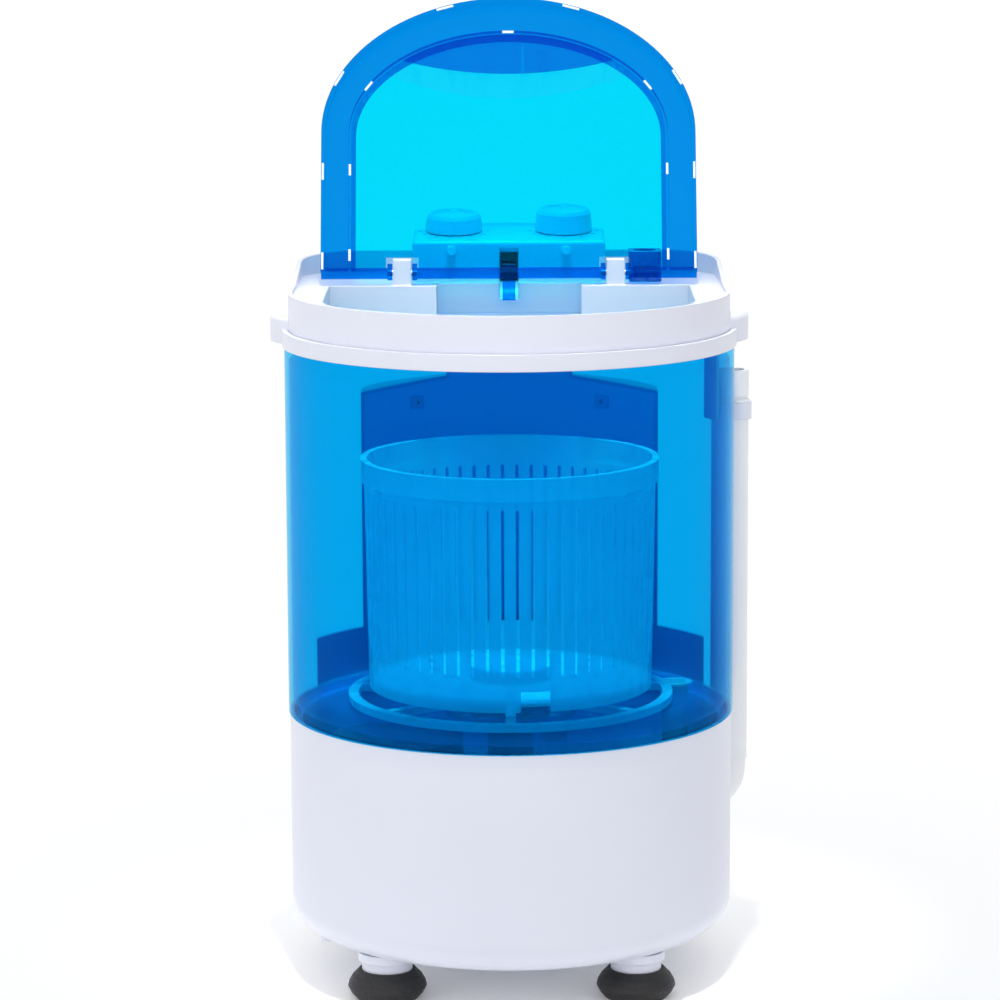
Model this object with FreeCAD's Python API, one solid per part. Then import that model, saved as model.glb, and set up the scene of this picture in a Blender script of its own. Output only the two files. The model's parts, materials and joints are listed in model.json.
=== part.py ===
import FreeCAD
import Part
import math
import os

# Top load washing machine with a clear tub, a lift-out spin basket and a hinged clear lid.
# Units are mm. The tub axis is X = Y = 0, the floor is Z = 0, the front is -Y, and the lid stands open.

V = FreeCAD.Vector
ORIGIN = V(0, 0, 0)
X_AXIS = V(1, 0, 0)
Y_AXIS = V(0, 1, 0)
Z_AXIS = V(0, 0, 1)
FAR = 400.0                # well past every side, for solids that cut right through

# feet
FOOT_XY = 83.5
FOOT_R = 26.5
STEM_R = 17.0
STEM_Z = 12.0
FOOT_TOP_Z = 19.5
FOOT_SCREW_R = 2.5

# base shell
BASE_R = 151.0
BASE_WALL = 2.5
BASE_FLOOR_Z = 32.0
BASE_TOP_Z = 181.0
BASE_CORNER_R = 20.0
BASE_OPENING_R = 92.0
LEDGE_Z = 175.0
SKIRT_R = 155.5
SKIRT_TOP_Z = 214.0
SKIRT_HALF_WIDTH = 136.0
DUCT_HALF_WIDTH = 60.0
DUCT_FLOOR_Z = 60.0

# wash tub
TUB_R = 152.0
TUB_WALL = 3.0
TUB_FLOOR_Z = BASE_TOP_Z
TUB_FLOOR = 4.0
TUB_TOP_Z = 431.5
SPIGOT_R = 149.5
SPIGOT_TOP_Z = 441.0
TUB_HOLE_R = 20.0

# top collar
COLLAR_R = 149.0
COLLAR_WALL = 3.0
COLLAR_REAR_Y = 157.5
COLLAR_CORNER_R = 40.0
FLANGE_R = 153.5
FLANGE_TOP_Z = 442.5
DECK_Z = 464.0
PLATE = 2.5
RIM_Z = 467.0
RIM_REAR_Z = 479.0
RIM_RISE_Y = 38.0
OPENING_HALF_WIDTH = 124.0
OPENING_FRONT_Y = -122.0
OPENING_REAR_Y = 60.0
RECESS_HALF_WIDTH = 50.0
RECESS_Y = 76.0
APRON_BOTTOM_Z = 443.0
TRAY_Z = 440.5
TRAY_R = 145.7
HANDLE_X = 162.5
HANDLE_Y = 17.0
HANDLE_LENGTH = 70.0
HANDLE_TOP_Z = 452.0
HANDLE_BOTTOM_Z = 433.0

# hinge and lid, drawn closed and then swung open
HINGE_Y = 67.0
HINGE_Z = 472.0
HINGE_PIN_R = 2.0
LUG_INNER_X = 67.5
LUG_OUTER_X = 80.0
LUG_HALF_DEPTH = 5.5
LUG_TOP_Z = 481.5
LUG_NOTCH = 11.6
LID_OPEN_ANGLE = 110.0
LID_HALF_WIDTH = 130.0
LID_STRAIGHT_Y = -32.0
LID_FRONT_Y = -129.0
LID_FRONT_FACTOR = 1.2         # the band is this much wider at the front than at the sides
LID_REAR_Y = 70.0
LID_RAIL_Y = 65.0
LID_BAND = 19.0
LID_BOTTOM_Z = 464.8
LID_TOP_Z = 476.8
LID_TOP = 2.5
LID_SKIRT = 2.5
RIDGE = 1.8
RIDGE_DEPTH = 6.0
WINDOW = 2.0
TAB_HALF_WIDTH = 4.5
TAB_REACH = 19.0
GRIP_HALF_CHORD = 75.0
GRIP_SAG = 10.0
GRIP_LOW_Y = -76.0
GRIP_THICKNESS = 3.0
STEP_HALF_CHORD = 88.0
STEP_SAG = 18.5
STEP_LOW_Y = -58.5
STEP_THICKNESS = 1.0
OUTER_PAD_LENGTH = 12.0
INNER_PAD_LENGTH = 8.0
PAD_WIDTH = 1.6
PAD_THICKNESS = 0.5
OUTER_PAD_ANGLES = (-24.0, -70.0)
OUTER_PAD_Y = (60.0, -4.0)
INNER_PAD_ANGLES = (-28.0, -90.0)
INNER_PAD_Y = (55.0, -6.0)

# control block
BLOCK_HALF_WIDTH = 67.0
BLOCK_FRONT_Y = 82.0
BLOCK_SIDE_Y = 128.0
BLOCK_REAR_Y = 150.0
BLOCK_FRONT_Z = 492.5
BLOCK_SLOPE = 5.9
KNOB_X = 38.5
KNOB_Y = 118.0
KNOB_R = 20.0
TIMER_KNOB_HEIGHT = 13.0
SELECTOR_KNOB_HEIGHT = 16.0
DIAL_SHAFT_R = 3.0

# drive
SHAFT_R = 6.0
RUNNING_FIT = 0.05
LARGE_PULLEY_R = 57.0
SMALL_PULLEY_R = 14.25
BELT_THICKNESS = 5.6
BELT_Z = 94.0
BELT_WIDTH = 8.0
PULLEY_GAP = 0.3
MOTOR_OFFSET = 85.0
MOTOR_AZIMUTH = 205.0
MOTOR_R = 45.0
MOTOR_Z = 110.0
MOTOR_TOP_Z = 168.0
MOTOR_BOLT_R = 51.0
MOTOR_BOLT_TURNS = (0.0, 88.0, -88.0)
POST_TOP_Z = 104.0
BRACKET_Z = 107.0
MOTOR_SHAFT_R = 5.0
CAPACITOR_R = 14.0
CAPACITOR_OFFSET = 111.5
CAPACITOR_AZIMUTH = 270.0
HOUSING_FLANGE_Z = 176.0
HOUSING_SCREW_R = 36.0

# pulsator and basket
PULSATOR_R = 111.0
PULSATOR_Z = 187.0
PULSATOR_PLATE = 5.0
SPOKES = 7
BOSS_R = 26.0
BOSS_TOP_Z = 208.0
BASKET_TOP_R = 99.0
BASKET_BOTTOM_R = 96.5
BASKET_WALL = 2.0
BASKET_SKIRT_Z = 197.0
BASKET_FLOOR_Z = 199.0
BASKET_TOP_Z = 354.0
BASKET_BAND_Z = 337.0
BASKET_BAND_R = 101.5
BASKET_SLOTS = 60
SLOT_WIDTH = 2.4
SLOT_Z = 221.0
SLOT_TOP_Z = 333.0

# drain
DRAIN_AZIMUTH = 24.0
DRAIN_R = 126.0
DRAIN_Z = 104.0
HOSE_AXIS_R = 168.0
HOSE_R = 13.0
HOSE_BORE_R = 10.0
ELBOW_BEND_R = 24.0
HOSE_START_Z = 128.0
HOSE_END_Z = 404.0
CLIP_Z = 370.0

# rear cover, cord gland and wiring
COVER_HALF_WIDTH = 105.0
COVER_SHOULDER_Z = 383.0
NECK_HALF_WIDTH = 45.0
COVER_CORNER_R = 30.0
SHOULDER_RISE = 7.0
COVER_WALL = 2.2
COVER_REAR_Y = 157.5
GLAND_X = -35.0
GLAND_Z = 84.0
WIRE_R = 1.3
WIRE_X = 32.0
WIRE_Y = 153.6
WIRE_PITCH = 6.0
WIRE_ROOM = 9.0
COVER_SKIN = 1.5


# ---- shared drawing helpers ----

def disc(radius, z0, z1, x=0.0, y=0.0):
    """A cylinder standing on z0."""
    return Part.makeCylinder(radius, z1 - z0, V(x, y, z0))


def tube(r_out, r_in, z0, z1, x=0.0, y=0.0):
    """A vertical tube."""
    return disc(r_out, z0, z1, x, y).cut(disc(r_in, z0, z1, x, y))


def block(x0, x1, y0, y1, z0, z1):
    """A box given by its limits."""
    return Part.makeBox(x1 - x0, y1 - y0, z1 - z0, V(x0, y0, z0))


def lathe(profile):
    """A solid of revolution about the tub axis from (radius, height) corners."""
    corners = [V(r, 0, z) for r, z in profile]
    face = Part.Face(Part.makePolygon(corners + corners[:1]))
    return face.revolve(ORIGIN, Z_AXIS, 360)


def prism(wire, z0, z1):
    """A flat outline at height 0 pulled up from z0 to z1."""
    solid = Part.Face(wire).extrude(V(0, 0, z1 - z0))
    solid.translate(V(0, 0, z0))
    return solid


def side_prism(profile, x0, x1):
    """A (y, z) polygon pulled along X."""
    corners = [V(x0, y, z) for y, z in profile]
    face = Part.Face(Part.makePolygon(corners + corners[:1]))
    return face.extrude(V(x1 - x0, 0, 0))


def polar(radius, degrees, z=0.0):
    """A point at a radius and an azimuth, counted from +X towards +Y."""
    turn = math.radians(degrees)
    return V(radius * math.cos(turn), radius * math.sin(turn), z)


def turned(shape, degrees):
    """A copy turned about the tub axis."""
    copy = shape.copy()
    copy.rotate(ORIGIN, Z_AXIS, degrees)
    return copy


def mirrored(shape):
    """The copy on the other side of the machine."""
    return shape.mirror(ORIGIN, X_AXIS)


def screw(x, y, head_z, head_r, head_height, shank_r, tip_z):
    """A vertical screw. The head grows away from the tip."""
    away = -1.0 if tip_z > head_z else 1.0
    head = Part.makeCylinder(head_r, head_height, V(x, y, head_z), V(0, 0, away))
    shank = Part.makeCylinder(shank_r, abs(tip_z - head_z), V(x, y, head_z), V(0, 0, -away))
    return head.fuse(shank).removeSplitter()


def d_outline(half_width, rear_y, corner_r):
    """A half circle in front, straight sides, and a flat back with rounded corners."""
    side_y = rear_y - corner_r
    near_x = half_width - corner_r
    cut = corner_r * math.sqrt(0.5)
    edges = [
        Part.Arc(V(half_width, 0, 0), V(0, -half_width, 0), V(-half_width, 0, 0)).toShape(),
        Part.makeLine(V(-half_width, 0, 0), V(-half_width, side_y, 0)),
        Part.Arc(
            V(-half_width, side_y, 0),
            V(-near_x - cut, side_y + cut, 0),
            V(-near_x, rear_y, 0),
        ).toShape(),
        Part.makeLine(V(-near_x, rear_y, 0), V(near_x, rear_y, 0)),
        Part.Arc(
            V(near_x, rear_y, 0),
            V(near_x + cut, side_y + cut, 0),
            V(half_width, side_y, 0),
        ).toShape(),
        Part.makeLine(V(half_width, side_y, 0), V(half_width, 0, 0)),
    ]
    return Part.Wire(edges)


def arch_outline(half_width, straight_y, front_y, rear_y):
    """A half ellipse in front, straight sides and a square back."""
    ellipse = Part.Ellipse(V(0, straight_y, 0), half_width, straight_y - front_y)
    front = Part.ArcOfEllipse(ellipse, math.pi, 2 * math.pi).toShape()
    left = V(-half_width, straight_y, 0)
    right = V(half_width, straight_y, 0)
    edges = [
        front,
        Part.makeLine(right, V(half_width, rear_y, 0)),
        Part.makeLine(V(half_width, rear_y, 0), V(-half_width, rear_y, 0)),
        Part.makeLine(V(-half_width, rear_y, 0), left),
    ]
    return Part.Wire(edges)


def opened(shape):
    """A lid piece swung from its closed place to where it rests open."""
    copy = shape.copy()
    copy.rotate(V(0, HINGE_Y, HINGE_Z), X_AXIS, -LID_OPEN_ANGLE)
    return copy


def on_panel(shape, x):
    """A dial piece drawn about the origin, set square on the sloping panel."""
    copy = shape.copy()
    copy.rotate(ORIGIN, X_AXIS, BLOCK_SLOPE)
    copy.translate(V(x, KNOB_Y, panel_height(KNOB_Y)))
    return copy


def panel_height(y):
    """Height of the sloping panel at a depth."""
    return BLOCK_FRONT_Z + (y - BLOCK_FRONT_Y) * math.tan(math.radians(BLOCK_SLOPE))


def foot_places():
    """The four corners where the feet stand."""
    return [(x, y) for x in (-FOOT_XY, FOOT_XY) for y in (-FOOT_XY, FOOT_XY)]


def motor_place():
    """Centre of the motor."""
    return polar(MOTOR_OFFSET, MOTOR_AZIMUTH)


def motor_bolt_places():
    """Bolt centres round the motor, kept away from the large pulley."""
    centre = motor_place()
    return [centre + polar(MOTOR_BOLT_R, MOTOR_AZIMUTH + turn) for turn in MOTOR_BOLT_TURNS]


def round_rod(points, bend_r, radius):
    """A round bar along straight runs joined by tangent arcs."""
    edges = []
    start = points[0]
    for before, corner, after in zip(points, points[1:], points[2:]):
        inward = (before - corner).normalize()
        outward = (after - corner).normalize()
        half_angle = inward.getAngle(outward) / 2
        reach = bend_r / math.tan(half_angle)
        middle_way = (inward + outward).normalize()
        centre = corner + middle_way * (bend_r / math.sin(half_angle))
        first = corner + inward * reach
        last = corner + outward * reach
        edges.append(Part.makeLine(start, first))
        edges.append(Part.Arc(first, centre - middle_way * bend_r, last).toShape())
        start = last
    edges.append(Part.makeLine(start, points[-1]))
    path = Part.Wire(edges)
    circle = Part.makeCircle(radius, points[0], points[1] - points[0])
    return path.makePipeShell([Part.Wire([circle])], True, True)


# ---- feet and base ----

def rubber_feet():
    """Four suction feet with a hollow underside and a socket for the stem."""
    profile = [
        (14.0, 0.0), (21.0, 0.0), (24.5, 4.0), (FOOT_R, 8.0), (25.8, 11.0), (23.5, 15.0), (19.0, FOOT_TOP_Z),
        (STEM_R, FOOT_TOP_Z), (STEM_R, STEM_Z), (FOOT_SCREW_R, STEM_Z), (FOOT_SCREW_R, 8.0), (12.0, 8.0),
    ]
    foot = lathe(profile)
    feet = []
    for x, y in foot_places():
        copy = foot.copy()
        copy.translate(V(x, y, 0))
        feet.append(copy)
    return Part.makeCompound(feet)


def foot_screws():
    """One screw up through each foot into its stem."""
    return Part.makeCompound([screw(x, y, 8.0, 5.0, 3.0, FOOT_SCREW_R, 18.0) for x, y in foot_places()])


def base_shell():
    """The white drum under the tub, with a ledge, foot stems and motor posts."""
    inner_r = BASE_R - BASE_WALL
    corner_z = BASE_FLOOR_Z + BASE_CORNER_R
    outer = disc(BASE_R, BASE_FLOOR_Z, BASE_TOP_Z)
    outer = outer.makeFillet(BASE_CORNER_R, [outer.Edges[2]])
    hollow = disc(inner_r, BASE_FLOOR_Z + BASE_WALL, BASE_TOP_Z)
    hollow = hollow.makeFillet(BASE_CORNER_R - BASE_WALL, [hollow.Edges[2]])
    ledge = lathe([
        (inner_r, LEDGE_Z - 9.0), (inner_r, LEDGE_Z),
        (inner_r - 6.0, LEDGE_Z), (inner_r - 6.0, LEDGE_Z - 3.0),
    ])
    shell = outer.cut([
        hollow,
        disc(BASE_OPENING_R, BASE_FLOOR_Z, corner_z),
        block(WIRE_X - WIRE_ROOM, WIRE_X + WIRE_ROOM, 120.0, BASE_R + 1.0, 120.0, 165.0),
        Part.makeCylinder(12.2, 60.0, polar(120.0, DRAIN_AZIMUTH, DRAIN_Z), polar(1.0, DRAIN_AZIMUTH)),
        block(GLAND_X - 15.0, GLAND_X + 15.0, 120.0, BASE_R + 1.0, GLAND_Z - 10.0, GLAND_Z + 10.0),
    ])
    stems = []
    stem_holes = []
    for x, y in foot_places():
        stems.append(disc(STEM_R, STEM_Z, BASE_FLOOR_Z + BASE_WALL, x, y))
        stems.append(disc(STEM_R + 2.5, BASE_FLOOR_Z - 6.0, BASE_FLOOR_Z, x, y))
        stem_holes.append(disc(STEM_R - 3.0, STEM_Z + 8.0, BASE_FLOOR_Z + BASE_WALL, x, y))
        stem_holes.append(disc(FOOT_SCREW_R, STEM_Z, STEM_Z + 8.0, x, y))
    posts = [disc(6.0, BASE_FLOOR_Z, POST_TOP_Z, place.x, place.y) for place in motor_bolt_places()]
    post_holes = [disc(3.0, 85.0, POST_TOP_Z, place.x, place.y) for place in motor_bolt_places()]
    return shell.fuse([ledge] + stems + posts).cut(stem_holes + post_holes).removeSplitter()


def rear_skirt():
    """The raised skirt behind the tub, with the wiring duct below it."""
    skirt = tube(SKIRT_R, BASE_R, LEDGE_Z, SKIRT_TOP_Z)
    skirt = skirt.common(block(-SKIRT_HALF_WIDTH, SKIRT_HALF_WIDTH, 0, FAR, LEDGE_Z, SKIRT_TOP_Z))
    duct = block(-DUCT_HALF_WIDTH, DUCT_HALF_WIDTH, 120.0, COVER_REAR_Y, DUCT_FLOOR_Z, SKIRT_TOP_Z)
    reach = DUCT_HALF_WIDTH - COVER_WALL
    duct_hollow = block(
        -reach, reach, 120.0, COVER_REAR_Y - COVER_WALL, DUCT_FLOOR_Z + COVER_WALL, SKIRT_TOP_Z,
    )
    return skirt.fuse(duct).cut([
        duct_hollow,
        disc(BASE_R, DUCT_FLOOR_Z, BASE_TOP_Z),
        disc(TUB_R + 0.5, BASE_TOP_Z, SKIRT_TOP_Z),
        Part.makeCylinder(7.0, 20.0, V(GLAND_X, COVER_REAR_Y - 10.0, GLAND_Z), Y_AXIS),
    ]).removeSplitter()


def bottom_cover():
    """The vented plate that closes the base from below."""
    plate = disc(BASE_OPENING_R + 4.0, BASE_FLOOR_Z - PLATE, BASE_FLOOR_Z)
    low = BASE_FLOOR_Z - PLATE
    vents = [block(-40.0, 40.0, y - 2.0, y + 2.0, low, BASE_FLOOR_Z) for y in range(-40, 41, 10)]
    holes = [disc(1.5, low, BASE_FLOOR_Z, p.x, p.y) for p in bottom_screw_places()]
    return plate.cut(vents + holes)


def bottom_screw_places():
    """Screw centres round the bottom cover."""
    return [polar(BASE_OPENING_R + 1.8, 90.0 * n) for n in range(4)]


def bottom_screws():
    """Screws holding the bottom cover."""
    low = BASE_FLOOR_Z - PLATE
    places = bottom_screw_places()
    return Part.makeCompound([screw(p.x, p.y, low, 2.1, 1.5, 1.5, BASE_FLOOR_Z) for p in places])


# ---- tub ----

def wash_tub():
    """The clear blue tub: wall, floor, and a spigot at both ends."""
    inner_r = TUB_R - TUB_WALL
    low_spigot_r = BASE_R - BASE_WALL - 0.3
    floor_top = TUB_FLOOR_Z + TUB_FLOOR
    wall_and_floor = lathe([
        (TUB_HOLE_R, TUB_FLOOR_Z), (low_spigot_r - 3.5, TUB_FLOOR_Z), (low_spigot_r - 3.5, LEDGE_Z),
        (low_spigot_r, LEDGE_Z), (low_spigot_r, TUB_FLOOR_Z), (TUB_R, TUB_FLOOR_Z), (TUB_R, TUB_TOP_Z),
        (SPIGOT_R, TUB_TOP_Z), (SPIGOT_R, SPIGOT_TOP_Z), (SPIGOT_R - 3.0, SPIGOT_TOP_Z),
        (SPIGOT_R - 3.0, TUB_TOP_Z - 8.0), (inner_r, TUB_TOP_Z - 10.0),
        (inner_r, floor_top + 6.0), (inner_r - 2.0, floor_top + 2.0), (inner_r - 6.0, floor_top),
        (TUB_HOLE_R, floor_top),
    ])
    drain = polar(DRAIN_R, DRAIN_AZIMUTH)
    screw_holes = [disc(2.0, TUB_FLOOR_Z, TUB_FLOOR_Z + 3.0, p.x, p.y) for p in housing_screw_places()]
    return wall_and_floor.cut([disc(9.0, TUB_FLOOR_Z, floor_top, drain.x, drain.y)] + screw_holes)


def drain_strainer():
    """The small grid that sits over the drain hole in the tub floor."""
    drain = polar(DRAIN_R, DRAIN_AZIMUTH)
    floor_top = TUB_FLOOR_Z + TUB_FLOOR
    rim = disc(12.0, floor_top, floor_top + 1.5, drain.x, drain.y)
    slots = [
        block(drain.x - 7.0, drain.x + 7.0, drain.y + dy - 1.0, drain.y + dy + 1.0, floor_top, floor_top + 1.5)
        for dy in (-4.0, 0.0, 4.0)
    ]
    return rim.cut(slots)


# ---- drive ----

def housing_screw_places():
    """Screw centres round the bearing housing."""
    return [polar(HOUSING_SCREW_R, 45.0 + 90.0 * n) for n in range(4)]


def bearing_housing():
    """The tube that carries the drive shaft through the tub floor."""
    body = lathe([
        (12.0, 122.0), (16.0, 122.0), (16.0, HOUSING_FLANGE_Z), (45.0, HOUSING_FLANGE_Z), (45.0, TUB_FLOOR_Z),
        (TUB_HOLE_R, TUB_FLOOR_Z), (TUB_HOLE_R, 189.5), (12.0, 189.5), (12.0, 168.0), (10.0, 168.0),
        (10.0, 134.0), (12.0, 134.0),
    ])
    return body.cut([disc(2.0, HOUSING_FLANGE_Z, TUB_FLOOR_Z, p.x, p.y) for p in housing_screw_places()])


def shaft_bearings():
    """Two plain bearings pressed into the housing."""
    bore = SHAFT_R + RUNNING_FIT
    return Part.makeCompound([tube(12.0, bore, 124.0, 134.0), tube(12.0, bore, 168.0, 178.0)])


def shaft_seal():
    """The rubber lip seal above the upper bearing."""
    return tube(12.0, SHAFT_R + RUNNING_FIT, 180.0, 187.0)


def housing_screws():
    """Screws from the housing flange into the tub floor."""
    tip = TUB_FLOOR_Z + 3.0
    places = housing_screw_places()
    return Part.makeCompound([screw(p.x, p.y, HOUSING_FLANGE_Z, 4.0, 3.0, 2.0, tip) for p in places])


def drive_shaft():
    """The upright shaft from the large pulley to the pulsator."""
    return disc(SHAFT_R, 84.0, 200.0).cut(disc(2.5, 188.0, 200.0))


def pulley_profile(pitch_r, bore_r, hub_r):
    """Half section of a flat belt pulley with two flanges."""
    groove_r = pitch_r - BELT_THICKNESS / 2 - PULLEY_GAP
    flange_r = pitch_r + BELT_THICKNESS / 2
    low = BELT_Z - 2.0
    high = BELT_Z + BELT_WIDTH + 2.0
    return [
        (bore_r, low), (flange_r, low), (flange_r, BELT_Z - PULLEY_GAP), (groove_r, BELT_Z - PULLEY_GAP),
        (groove_r, BELT_Z + BELT_WIDTH + PULLEY_GAP), (flange_r, BELT_Z + BELT_WIDTH + PULLEY_GAP),
        (flange_r, high), (hub_r, high), (hub_r, high + 6.0), (bore_r, high + 6.0),
    ]


def large_pulley():
    """The driven pulley with round lightening holes."""
    wheel = lathe(pulley_profile(LARGE_PULLEY_R, SHAFT_R, 14.0))
    holes = []
    for n in range(6):
        place = polar(32.0, 60.0 * n)
        holes.append(disc(10.0, 80.0, 120.0, place.x, place.y))
    return wheel.cut(holes)


def pulley_nut():
    """The nut under the large pulley."""
    corners = [polar(10.0, 60.0 * n) for n in range(7)]
    return prism(Part.makePolygon(corners), 85.0, BELT_Z - 2.0).cut(disc(SHAFT_R, 80.0, 100.0))


def small_pulley():
    """The pulley on the motor."""
    wheel = lathe(pulley_profile(SMALL_PULLEY_R, MOTOR_SHAFT_R, 9.0))
    wheel = wheel.cut(disc(FAR, BELT_Z + BELT_WIDTH + 2.0 + 1.0, FAR))
    wheel.translate(motor_place())
    return wheel


def belt_outline(offset):
    """The closed path of the belt, moved outwards from its pitch line."""
    spread = math.degrees(math.acos((LARGE_PULLEY_R - SMALL_PULLEY_R) / MOTOR_OFFSET))
    motor = motor_place()
    large_r = LARGE_PULLEY_R + offset
    small_r = SMALL_PULLEY_R + offset
    left = MOTOR_AZIMUTH + spread
    right = MOTOR_AZIMUTH - spread
    back = MOTOR_AZIMUTH + 180.0
    large_left = polar(large_r, left)
    large_right = polar(large_r, right)
    small_left = motor + polar(small_r, left)
    small_right = motor + polar(small_r, right)
    return Part.Wire([
        Part.Arc(large_left, polar(large_r, back), large_right).toShape(),
        Part.makeLine(large_right, small_right),
        Part.Arc(small_right, motor + polar(small_r, MOTOR_AZIMUTH), small_left).toShape(),
        Part.makeLine(small_left, large_left),
    ])


def drive_belt():
    """The flat belt round both pulleys."""
    half = BELT_THICKNESS / 2
    outer = prism(belt_outline(half), BELT_Z, BELT_Z + BELT_WIDTH)
    return outer.cut(prism(belt_outline(-half), BELT_Z, BELT_Z + BELT_WIDTH))


def motor_grommets():
    """Rubber rings between the posts and the motor bracket."""
    return Part.makeCompound([tube(8.0, 3.0, POST_TOP_Z, BRACKET_Z, p.x, p.y) for p in motor_bolt_places()])


def motor_bracket():
    """The round steel plate under the motor."""
    centre = motor_place()
    plate = tube(58.0, 14.0, BRACKET_Z, MOTOR_Z, centre.x, centre.y)
    return plate.cut([disc(3.0, BRACKET_Z, MOTOR_Z, p.x, p.y) for p in motor_bolt_places()])


def motor_bolts():
    """Bolts from the bracket down into the posts."""
    return Part.makeCompound([screw(p.x, p.y, MOTOR_Z, 5.0, 4.0, 3.0, 88.0) for p in motor_bolt_places()])


def motor_can():
    """The motor body, hollow for its windings and rotor."""
    centre = motor_place()
    can = disc(MOTOR_R, MOTOR_Z, MOTOR_TOP_Z, centre.x, centre.y)
    nose = disc(13.0, BRACKET_Z, MOTOR_Z, centre.x, centre.y)
    hollow = disc(MOTOR_R - 2.5, MOTOR_Z + 4.0, MOTOR_TOP_Z - 4.0, centre.x, centre.y)
    bore = disc(MOTOR_SHAFT_R + RUNNING_FIT, BRACKET_Z, MOTOR_TOP_Z - 1.0, centre.x, centre.y)
    return can.fuse(nose).cut([hollow, bore])


def motor_windings():
    """The fixed ring of windings inside the can."""
    centre = motor_place()
    return tube(MOTOR_R - 2.5, 32.0, MOTOR_Z + 8.0, MOTOR_TOP_Z - 8.0, centre.x, centre.y)


def motor_rotor():
    """The motor shaft with its rotor."""
    centre = motor_place()
    shaft = disc(MOTOR_SHAFT_R, 88.0, MOTOR_TOP_Z - 2.0, centre.x, centre.y)
    return shaft.fuse(disc(31.0, MOTOR_Z + 10.0, MOTOR_TOP_Z - 10.0, centre.x, centre.y)).removeSplitter()


def capacitor():
    """The motor capacitor standing on the base floor."""
    centre = polar(CAPACITOR_OFFSET, CAPACITOR_AZIMUTH)
    low = BASE_FLOOR_Z + BASE_WALL
    return disc(CAPACITOR_R, low, low + 50.0, centre.x, centre.y)


def capacitor_clamp():
    """The strap round the capacitor, with a foot on the base floor."""
    centre = polar(CAPACITOR_OFFSET, CAPACITOR_AZIMUTH)
    low = BASE_FLOOR_Z + BASE_WALL
    ring = tube(CAPACITOR_R + 2.0, CAPACITOR_R, low, low + 22.0, centre.x, centre.y)
    foot = tube(CAPACITOR_R + 4.5, CAPACITOR_R, low, low + 2.0, centre.x, centre.y)
    return ring.fuse(foot).removeSplitter()


# ---- pulsator and basket ----

def pulsator():
    """A seven-spoked ring with a boss that carries the spin basket."""
    ring = tube(PULSATOR_R, PULSATOR_R - 7.0, PULSATOR_Z, PULSATOR_Z + PULSATOR_PLATE)
    spoke = block(-3.5, 3.5, -PULSATOR_R + 2.0, -BOSS_R + 2.0, PULSATOR_Z, PULSATOR_Z + PULSATOR_PLATE)
    spokes = [turned(spoke, 360.0 * n / SPOKES) for n in range(SPOKES)]
    boss = disc(BOSS_R, PULSATOR_Z, BOSS_TOP_Z)
    hollow = disc(BOSS_R - 4.0, PULSATOR_Z, PULSATOR_Z + 4.0)
    bore = disc(SHAFT_R, PULSATOR_Z, 200.0)
    counterbore = disc(8.0, 202.0, BOSS_TOP_Z)
    screw_hole = disc(2.5, 200.0, 202.0)
    return ring.fuse(spokes + [boss]).cut([hollow, bore, counterbore, screw_hole]).removeSplitter()


def pulsator_screw():
    """The screw that holds the pulsator on the drive shaft."""
    return screw(0, 0, 202.0, 6.0, 4.0, 2.5, 189.0)


def spin_basket():
    """The slotted basket with a rim band, a drained floor and a cup over the boss."""
    wall = lathe([
        (BASKET_BOTTOM_R, BASKET_SKIRT_Z), (BASKET_TOP_R, BASKET_BAND_Z),
        (BASKET_BAND_R, BASKET_BAND_Z + 2.0),
        (BASKET_BAND_R, BASKET_TOP_Z), (BASKET_TOP_R - BASKET_WALL, BASKET_TOP_Z),
        (BASKET_BOTTOM_R - BASKET_WALL, BASKET_FLOOR_Z + BASKET_WALL),
        (BOSS_R + 2.3, BASKET_FLOOR_Z + BASKET_WALL),
        (BOSS_R + 2.3, BOSS_TOP_Z + 2.3), (0.0, BOSS_TOP_Z + 2.3), (0.0, BOSS_TOP_Z + 0.3),
        (BOSS_R + 0.3, BOSS_TOP_Z + 0.3), (BOSS_R + 0.3, BASKET_FLOOR_Z),
        (BASKET_BOTTOM_R - BASKET_WALL, BASKET_FLOOR_Z), (BASKET_BOTTOM_R - BASKET_WALL, BASKET_SKIRT_Z),
    ])
    slot = block(-SLOT_WIDTH / 2, SLOT_WIDTH / 2, -BASKET_BAND_R - 5.0, -88.0, SLOT_Z, SLOT_TOP_Z)
    slots = [turned(slot, 360.0 * (n + 0.5) / BASKET_SLOTS) for n in range(BASKET_SLOTS)]
    notch = turned(block(-10.0, 10.0, -110.0, -88.0, BASKET_SKIRT_Z, BASKET_SKIRT_Z + 14.0), 10.0)
    drains = []
    for radius, count in ((42.0, 8), (60.0, 12), (78.0, 16)):
        for n in range(count):
            place = polar(radius, 360.0 * n / count)
            drains.append(disc(3.5, BASKET_FLOOR_Z, BASKET_FLOOR_Z + BASKET_WALL, place.x, place.y))
    return wall.cut(slots + drains + [notch])


# ---- drain ----

def drain_pipe():
    """The pipe from the tub floor to the side of the base."""
    radius = 9.0
    way = polar(1.0, DRAIN_AZIMUTH)
    path = [way * DRAIN_R + V(0, 0, TUB_FLOOR_Z + TUB_FLOOR), way * DRAIN_R + V(0, 0, DRAIN_Z),
            way * (BASE_R - 3.0) + V(0, 0, DRAIN_Z)]
    return round_rod(path, 14.0, radius).cut(round_rod(path, 14.0, radius - 2.0))


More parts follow.
